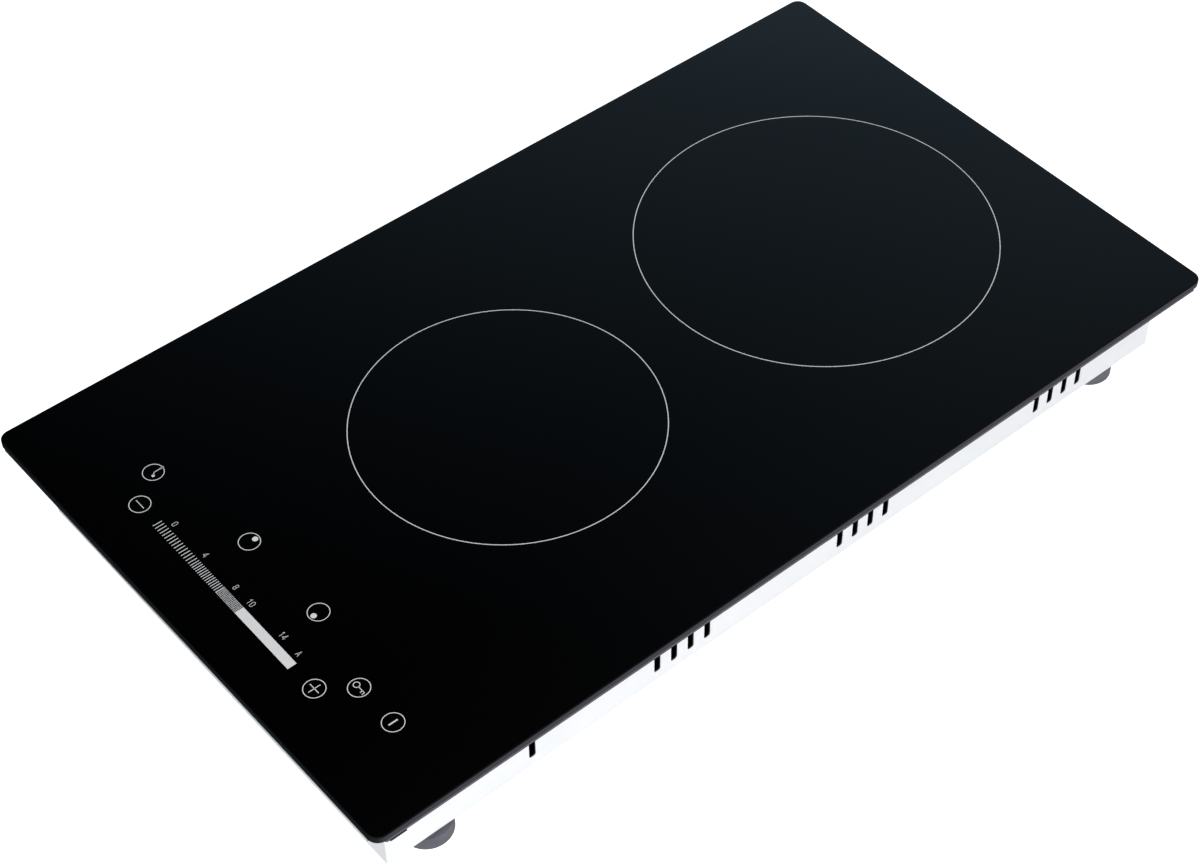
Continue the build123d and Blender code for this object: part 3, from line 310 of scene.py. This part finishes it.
SLOT_MATERIALS = {
    "glass_black": glass_material(),
    "white_paint": enamel_material(),
    "foot_rubber": rubber_material(),
    "seal_foam": seal_material(),
    "silicone": plain_surface("silicone", (0.025, 0.025, 0.028), 0.45, grain=500.0, spread=0.15),
    "zinc_steel": plain_surface("zinc_steel", (0.60, 0.62, 0.64), 0.36, 1.0, grain=90.0, spread=0.16),
    "screw_steel": plain_surface("screw_steel", (0.56, 0.57, 0.60), 0.30, 1.0, grain=1400.0, spread=0.10),
    "spring_steel": plain_surface("spring_steel", (0.50, 0.50, 0.52), 0.28, 1.0, grain=1800.0, spread=0.10),
    "black_plastic": plain_surface("black_plastic", (0.022, 0.022, 0.024), 0.52, grain=2200.0, spread=0.2),
    "grey_plastic": plain_surface("grey_plastic", (0.30, 0.31, 0.32), 0.50, grain=2200.0, spread=0.08),
    "white_plastic": plain_surface("white_plastic", (0.74, 0.74, 0.71), 0.48, grain=1600.0, spread=0.05),
    "board_green": plain_surface("board_green", (0.012, 0.120, 0.045), 0.32, grain=450.0, spread=0.25,
                                 coat=0.3),
    "aluminium": plain_surface("aluminium", (0.78, 0.79, 0.80), 0.34, 1.0, grain=420.0, spread=0.07,
                               stretch=(1, 0.04, 1)),
    "copper_litz": plain_surface("copper_litz", (0.55, 0.20, 0.07), 0.34, 1.0, grain=2600.0, spread=0.30,
                                 depth=0.00015, coat=0.3),
    "ferrite": plain_surface("ferrite", (0.040, 0.040, 0.043), 0.60, grain=1800.0, spread=0.25),
    "mica": plain_surface("mica", (0.62, 0.58, 0.48), 0.42, grain=340.0, spread=0.16, stretch=(1, 0.3, 1)),
    "sensor_rubber": plain_surface("sensor_rubber", (0.38, 0.06, 0.035), 0.55, grain=1200.0, spread=0.10),
    "capacitor_case": plain_surface("capacitor_case", (0.62, 0.38, 0.035), 0.30, grain=800.0, spread=0.06),
    "device_black": plain_surface("device_black", (0.018, 0.018, 0.019), 0.40, grain=1900.0, spread=0.2),
    "contact_brass": plain_surface("contact_brass", (0.66, 0.48, 0.18), 0.30, 1.0, grain=1300.0, spread=0.10),
    "wire_jacket": plain_surface("wire_jacket", (0.050, 0.050, 0.056), 0.44, grain=1500.0, spread=0.15),
}

for entry in frame["record"]["subparts"]:
    node_object = frame["nodes"][entry["node"]]
    node_object.data.materials.clear()
    node_object.data.materials.append(SLOT_MATERIALS[entry["material_slot"]])


# ---------------------------------------------------------------- coil springs


def compressing_springs(node_name):
    """A copy of a spring node that stands for it, with a mesh of its own, under the cooktop's body; the node
    itself is hidden.
    """
    node_object = frame["nodes"][node_name]
    springs = bpy.data.objects.new(f"{node_name}_compressing", node_object.data.copy())
    scene.collection.objects.link(springs)
    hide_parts(node_name)
    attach(springs, "cooktop")
    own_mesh(springs)


for joint in frame["record"]["behaviour"]["joints"]:
    for deforming in joint.get("deforming_nodes", []):
        compressing_springs(deforming["node"])


# ---------------------------------------------------------------- ink on the glass

INK_T = 0.02 * MM
INK = ink_material()
SHARPEST_CORNER = 0.35


class Print:
    """One printed piece: strokes and patches in millimetres on the glass's top face."""

    def __init__(self, name):
        self.name = name
        self.mesh = bmesh.new()

    def patch(self, outline):
        """A filled convex patch, as a thin closed slab."""
        low = [self.mesh.verts.new((x * MM, y * MM, TOP_Z)) for x, y in outline]
        high = [self.mesh.verts.new((x * MM, y * MM, TOP_Z + INK_T)) for x, y in outline]
        self.mesh.faces.new(high)
        self.mesh.faces.new(low[::-1])
        for i in range(len(outline)):
            j = (i + 1) % len(outline)
            self.mesh.faces.new((low[i], low[j], high[j], high[i]))

    def stroke(self, points, width, closed=False):
        """A line of constant width through the points, as a thin closed slab."""
        points = [Vector(p) for p in points]
        count = len(points)
        left, right = [], []
        for i, point in enumerate(points):
            before = points[i - 1] if closed or i > 0 else point
            after = points[(i + 1) % count] if closed or i < count - 1 else point
            first = (point - before).normalized() if (point - before).length > 0 else None
            second = (after - point).normalized() if (after - point).length > 0 else None
            first = first or second
            second = second or first
            along = (first + second).normalized()
            side = Vector((-along.y, along.x))
            reach = width / 2 / max(SHARPEST_CORNER, along.dot(first))
            left.append(point + side * reach)
            right.append(point - side * reach)
        rows = []
        for z in (TOP_Z, TOP_Z + INK_T):
            for edge in (left, right):
                rows.append([self.mesh.verts.new((p.x * MM, p.y * MM, z)) for p in edge])
        low_left, low_right, high_left, high_right = rows
        last = count if closed else count - 1
        for i in range(last):
            j = (i + 1) % count
            self.mesh.faces.new((high_right[i], high_right[j], high_left[j], high_left[i]))
            self.mesh.faces.new((low_left[i], low_left[j], low_right[j], low_right[i]))
            self.mesh.faces.new((low_right[i], low_right[j], high_right[j], high_right[i]))
            self.mesh.faces.new((low_left[j], low_left[i], high_left[i], high_left[j]))
        if not closed:
            self.mesh.faces.new((low_left[0], low_right[0], high_right[0], high_left[0]))
            self.mesh.faces.new((low_right[-1], low_left[-1], high_left[-1], high_right[-1]))

    def circle(self, centre, radius, width, steps=96):
        self.stroke(arc(centre, radius, 0, 360, steps)[:-1], width, closed=True)

    def dot(self, centre, radius, steps=40):
        self.patch(arc(centre, radius, 0, 360, steps)[:-1])

    def turn(self, centre, angle):
        """Turns the marks made so far about a point of the glass, by an angle in degrees."""
        about = Vector((centre[0] * MM, centre[1] * MM, TOP_Z))
        turned = Matrix.Rotation(radians(angle), 3, "Z")
        bmesh.ops.rotate(self.mesh, cent=about, matrix=turned, verts=self.mesh.verts)

    def finish(self):
        """Makes the object, laid on the glass."""
        data = bpy.data.meshes.new(self.name)
        self.mesh.to_mesh(data)
        self.mesh.free()
        piece = bpy.data.objects.new(self.name, data)
        scene.collection.objects.link(piece)
        data.materials.append(INK)
        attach(piece, "cooktop")
        return piece


def arc(centre, radius, start, end, steps):
    """Points along an arc, angles in degrees."""
    angles = [radians(start + (end - start) * i / steps) for i in range(steps + 1)]
    return [(centre[0] + radius * cos(a), centre[1] + radius * sin(a)) for a in angles]


def shifted(points, centre):
    return [(x + centre[0], y + centre[1]) for x, y in points]


# Cooking zones
ZONE_LINE = 0.44
FRONT_ZONE_Y, FRONT_ZONE_R = -70.0, 76.8
REAR_ZONE_Y, REAR_ZONE_R = 132.5, 94.4
zones = Print("zone_rings")
zones.circle((0, FRONT_ZONE_Y), FRONT_ZONE_R, ZONE_LINE, 256)
zones.circle((0, REAR_ZONE_Y), REAR_ZONE_R, ZONE_LINE, 320)
zones.finish()

# Touch keys: a small ring with its sign inside
KEY_R = 5.1
KEY_LINE = 0.38
BOLD_LINE = 0.7
SIGN_REACH = 3.3
ZONE_DOT_R = 1.45
KEYS = {
    "timer": (-83.1, -216.4),
    "minus": (-70.3, -232.1),
    "rear_zone": (-18.5, -206.5),
    "front_zone": (35.8, -206.6),
    "plus": (69.4, -232.9),
    "lock": (81.7, -217.8),
    "power": (106.3, -217.7),
}
keys = Print("key_symbols")


def key_stroke(key, points, width=KEY_LINE):
    """A line of a key's sign, given from the key's middle."""
    keys.stroke(shifted(points, KEYS[key]), width)


def key_dot(key, x, y, radius):
    """A dot of a key's sign, given from the key's middle."""
    keys.dot((KEYS[key][0] + x, KEYS[key][1] + y), radius)


for key_centre in KEYS.values():
    keys.circle(key_centre, KEY_R, KEY_LINE)
# a clock's hand from a dot near the middle, with a bold end over the ring
key_stroke("timer", [(0.1, 4.9), (0.3, 0.2), (1.7, -1.1)])
key_stroke("timer", [(0.1, 5.6), (0.18, 3.2)], 0.8)
key_dot("timer", 1.8, -1.3, 0.8)
key_stroke("minus", [(-SIGN_REACH, 0), (SIGN_REACH, 0)])
key_stroke("plus", [(-SIGN_REACH, 0), (SIGN_REACH, 0)])
key_stroke("plus", [(0, -SIGN_REACH), (0, SIGN_REACH)])
key_dot("rear_zone", 0.4, 2.9, ZONE_DOT_R)
key_dot("front_zone", 0.3, -2.9, ZONE_DOT_R)
key_stroke("power", [(0.0, -2.4), (0.0, 2.4)], BOLD_LINE)
# a key: its bow, its shaft and two teeth
keys.circle(shifted([(-2.0, 0.1)], KEYS["lock"])[0], 1.5, KEY_LINE, 40)
key_stroke("lock", [(-0.55, 0.1), (4.0, 0.1)])
key_stroke("lock", [(2.4, 0.1), (2.4, -1.2)])
key_stroke("lock", [(3.8, 0.1), (3.8, -1.4)])
keys.finish()

# Power scale: sparse bars, denser bars, a fine mesh, then a solid bar
SCALE_LOW = -235.15
SCALE_HIGH = -230.3
SCALE_TURN = -0.39
SCALE_PIVOT_X = -13.0
TICK_LINE = 0.36
SPARSE_START, SPARSE_STEP, SPARSE_COUNT = -55.1, 1.95, 16
DENSE_START, DENSE_STEP, DENSE_COUNT = -24.1, 1.46, 15
MESH_START, MESH_STEP, MESH_COLUMNS, MESH_ROWS = -3.3, 0.95, 16, 7
MESH_COLUMN_LINE = 0.18
MESH_ROW_LINE = 0.14
MESH_LEAD = 0.6
MESH_INSET = 0.2
BAR_START = 11.7
BAR_END = 53.1
scale = Print("power_scale")


def ticks(start, step, count, width):
    """Upright lines over the scale's height."""
    for i in range(count):
        tick_x = start + i * step
        scale.stroke([(tick_x, SCALE_LOW), (tick_x, SCALE_HIGH)], width)


ticks(SPARSE_START, SPARSE_STEP, SPARSE_COUNT, TICK_LINE)
ticks(DENSE_START, DENSE_STEP, DENSE_COUNT, TICK_LINE)
ticks(MESH_START, MESH_STEP, MESH_COLUMNS, MESH_COLUMN_LINE)
for i in range(MESH_ROWS):
    row_y = SCALE_LOW + MESH_INSET + (SCALE_HIGH - SCALE_LOW - 2 * MESH_INSET) * i / (MESH_ROWS - 1)
    scale.stroke([(MESH_START - MESH_LEAD, row_y), (BAR_START, row_y)], MESH_ROW_LINE)
scale.patch([(BAR_START, SCALE_LOW), (BAR_END, SCALE_LOW), (BAR_END, SCALE_HIGH), (BAR_START, SCALE_HIGH)])
scale.turn((SCALE_PIVOT_X, (SCALE_LOW + SCALE_HIGH) / 2), SCALE_TURN)
scale.finish()

# Numbers over the scale, drawn as narrow single-line figures
DIGIT_H = 3.1
DIGIT_W = 1.45
DIGIT_GAP = 0.75
DIGIT_LINE = 0.21
DIGIT_BASE = -228.05


def oval(width, height, base=0.0, steps=12):
    """Upright rounded outline standing on base."""
    r = width / 2
    top = arc((0, base + height - r), r, 0, 180, steps)
    bottom = arc((0, base + r), r, 180, 360, steps)
    return top + bottom


def figure_strokes(sign):
    """Strokes of one sign, about x = 0 and standing on y = 0: (points, closed)."""
    w, h = DIGIT_W, DIGIT_H
    if sign == "0":
        return [(oval(w, h), True)]
    if sign == "1":
        return [([(-0.6, h - 0.8), (0.1, h), (0.1, 0)], False)]
    if sign == "4":
        return [([(0.4, 0), (0.4, h), (-w / 2 - 0.1, 0.85), (w / 2 + 0.15, 0.85)], False)]
    if sign == "8":
        return [(oval(w * 0.9, h * 0.5, h * 0.5), True), (oval(w, h * 0.52), True)]
    legs = [(-w / 2 - 0.15, 0), (0, h), (w / 2 + 0.15, 0)]
    return [(legs, False), ([(-0.6, 1.0), (0.6, 1.0)], False)]


# Each level's sign, and how far it stands above or below the row; the last is for automatic
LEVELS = {0: ("0", 0.0), 4: ("4", 0.3), 8: ("8", 0.0), 10: ("10", 0.0), 14: ("14", 0.2), 16: ("A", -0.45)}
LEVEL_ZERO_X = -49.6
LEVEL_STEP = 6.18
PAIR_SHIFT = -0.35
digits = Print("scale_numbers")
for level, (text, lift) in LEVELS.items():
    last_place = len(text) - 1
    middle = LEVEL_ZERO_X + level * LEVEL_STEP + PAIR_SHIFT * last_place
    for i, sign in enumerate(text):
        sign_x = middle + (i - last_place / 2) * (DIGIT_W + DIGIT_GAP)
        for points, closed in figure_strokes(sign):
            digits.stroke(shifted(points, (sign_x, DIGIT_BASE + lift)), DIGIT_LINE, closed)
digits.finish()


# ---------------------------------------------------------------- floor, light and camera

FLOOR_HALF = 6.0
floor_mesh = bmesh.new()
bmesh.ops.create_grid(floor_mesh, x_segments=1, y_segments=1, size=FLOOR_HALF)
floor_data = bpy.data.meshes.new("floor")
floor_mesh.to_mesh(floor_data)
floor_mesh.free()
floor = bpy.data.objects.new("floor", floor_data)
floor.location.z = cad_box[0][2]
scene.collection.objects.link(floor)
floor.visible_glossy = False
floor_nodes = Nodes("pale_floor")
floor_nodes.set(Base_Color=(0.80, 0.80, 0.80, 1.0), Roughness=0.9, Specular_IOR_Level=0.1)
floor_nodes.set(Emission_Color=(1.0, 1.0, 1.0, 1.0))
floor_ray = floor_nodes.add("ShaderNodeLightPath")
floor_glow = floor_nodes.ramp(floor_ray.outputs["Is Camera Ray"], 0.18, 0.85, 0.0, 1.0)
floor_nodes.link(floor_glow, floor_nodes.shader.inputs["Emission Strength"])
floor_data.materials.append(floor_nodes.material)

target = Vector((0, 0, TOP_Z / 2))


def soft_light(name, place, size, power):
    """Square white area light aimed at the object; it isn't mirrored in the glass."""
    data = bpy.data.lights.new(name, "AREA")
    data.shape = "SQUARE"
    data.size = size
    data.energy = power
    lamp = bpy.data.objects.new(name, data)
    lamp.location = place
    lamp.rotation_euler = (target - Vector(place)).to_track_quat("-Z", "Y").to_euler()
    lamp.visible_glossy = False
    scene.collection.objects.link(lamp)


soft_light("key_light", (2.0, -0.5, 1.0), 1.4, 34.0)
soft_light("front_light", (0.13, -0.60, 0.20), 0.4, 0.7)

world = bpy.data.worlds.new("studio")
scene.world = world
world.use_nodes = True
tree = world.node_tree
tree.nodes.clear()


def world_node(kind, **inputs):
    """A node of the world's tree; each input is a value or a socket, by its place among the inputs."""
    node = tree.nodes.new(kind)
    for key, value in inputs.items():
        if not key.startswith("at"):
            setattr(node, key, value)
    for key, value in inputs.items():
        if key.startswith("at"):
            socket = node.inputs[int(key[2:])]
            if isinstance(value, bpy.types.NodeSocket):
                tree.links.new(value, socket)
            else:
                socket.default_value = value
    return node


# Soft white light all round. Mirror-like surfaces see a dark room with a faint glow. It pales above the back
# left, where the glass's top face looks, and below the horizon on the right and behind, where its edges look.
towards = world_node("ShaderNodeTexCoord").outputs["Generated"]
axes = world_node("ShaderNodeSeparateXYZ", at0=towards)


def direction_range(value, start, end, low, high):
    """A direction's value, mapped smoothly from start..end to low..high."""
    node = world_node("ShaderNodeMapRange", at0=value, at1=start, at2=end, at3=low, at4=high)
    node.interpolation_type = "SMOOTHSTEP"
    return node.outputs[0]


def world_math(operation, first, second, third=0.0):
    """A sum or product of values or sockets."""
    return world_node("ShaderNodeMath", operation=operation, at0=first, at1=second, at2=third).outputs[0]


def world_mix(factor, first, second):
    """A mix of two colours or sockets."""
    return world_node("ShaderNodeMix", data_type="RGBA", at0=factor, at6=first, at7=second).outputs[2]


back_left = world_math("MULTIPLY_ADD", axes.outputs["X"], -0.85, axes.outputs["Y"])
fade_place = world_node("ShaderNodeMapRange", at0=back_left, at1=0.75, at2=1.15, at3=0.0, at4=1.0).outputs[0]
fade = world_node("ShaderNodeValToRGB", at0=fade_place)
stops = fade.color_ramp.elements
SKY_FADE = (
    (0.0, 0.0), (0.12, 0.008), (0.25, 0.035), (0.38, 0.08),
    (0.50, 0.14), (0.62, 0.22), (0.75, 0.39), (1.0, 0.8),
)
SKY_TINT = (0.68, 1.0, 1.26)
for place, level in SKY_FADE[1:-1]:
    stops.new(place)
for stop, (place, level) in zip(stops, SKY_FADE):
    stop.position = place
    stop.color = (*(channel * level for channel in SKY_TINT), 1)
above = direction_range(axes.outputs["Z"], 0.0, 0.25, 0.0, 1.0)
right_and_back = world_math("ADD", axes.outputs["X"], axes.outputs["Y"])
low_glow = world_math(
    "MULTIPLY",
    direction_range(right_and_back, 0.10, 0.55, 0.0, 0.5),
    direction_range(axes.outputs["Z"], -0.3, 0.0, 1.0, 0.0),
)
faint_glow = direction_range(axes.outputs["X"], -0.54, -0.42, 0.0, 0.03)
sky = world_mix(faint_glow, fade.outputs["Color"], (0.9, 1.0, 1.1, 1))
overhead = world_mix(above, (0, 0, 0, 1), sky)
room = world_mix(low_glow, overhead, (1, 0.98, 1.05, 1))
rays = world_node("ShaderNodeLightPath")
soft_sky = world_mix(rays.outputs["Is Glossy Ray"], (0.42, 0.43, 0.45, 1), room)
all_rays = world_mix(rays.outputs["Is Camera Ray"], soft_sky, (1, 1, 1, 1))
background = world_node("ShaderNodeBackground", at0=all_rays)
world_node("ShaderNodeOutputWorld", at0=background.outputs[0])

scene.view_settings.view_transform = "Standard"
scene.view_settings.look = "None"

# Camera: from the front right corner, looking steeply down, with a long lens
CAMERA_PLACE = Vector((0.6777, -0.5642, 0.8981))
CAMERA_DIRECTION = Vector((-0.51231, 0.45738, -0.72687))
CAMERA_ROLL = 0.883
LENS_MM = 76.785
SENSOR_MM = 36.0
SHIFT_X = -0.06756
SHIFT_Y = -0.02343

camera_data = bpy.data.cameras.new("camera")
camera_data.sensor_width = SENSOR_MM
camera_data.lens = LENS_MM
camera_data.shift_x = SHIFT_X
camera_data.shift_y = SHIFT_Y
camera_data.clip_start = 0.05
camera = bpy.data.objects.new("camera", camera_data)
camera.location = Vector((0, 0, TOP_Z)) + CAMERA_PLACE
aim = CAMERA_DIRECTION.to_track_quat("-Z", "Y").to_matrix().to_4x4()
roll = Matrix.Rotation(radians(CAMERA_ROLL), 4, "Z")
camera.rotation_euler = (aim @ roll).to_euler()
scene.collection.objects.link(camera)
scene.camera = camera
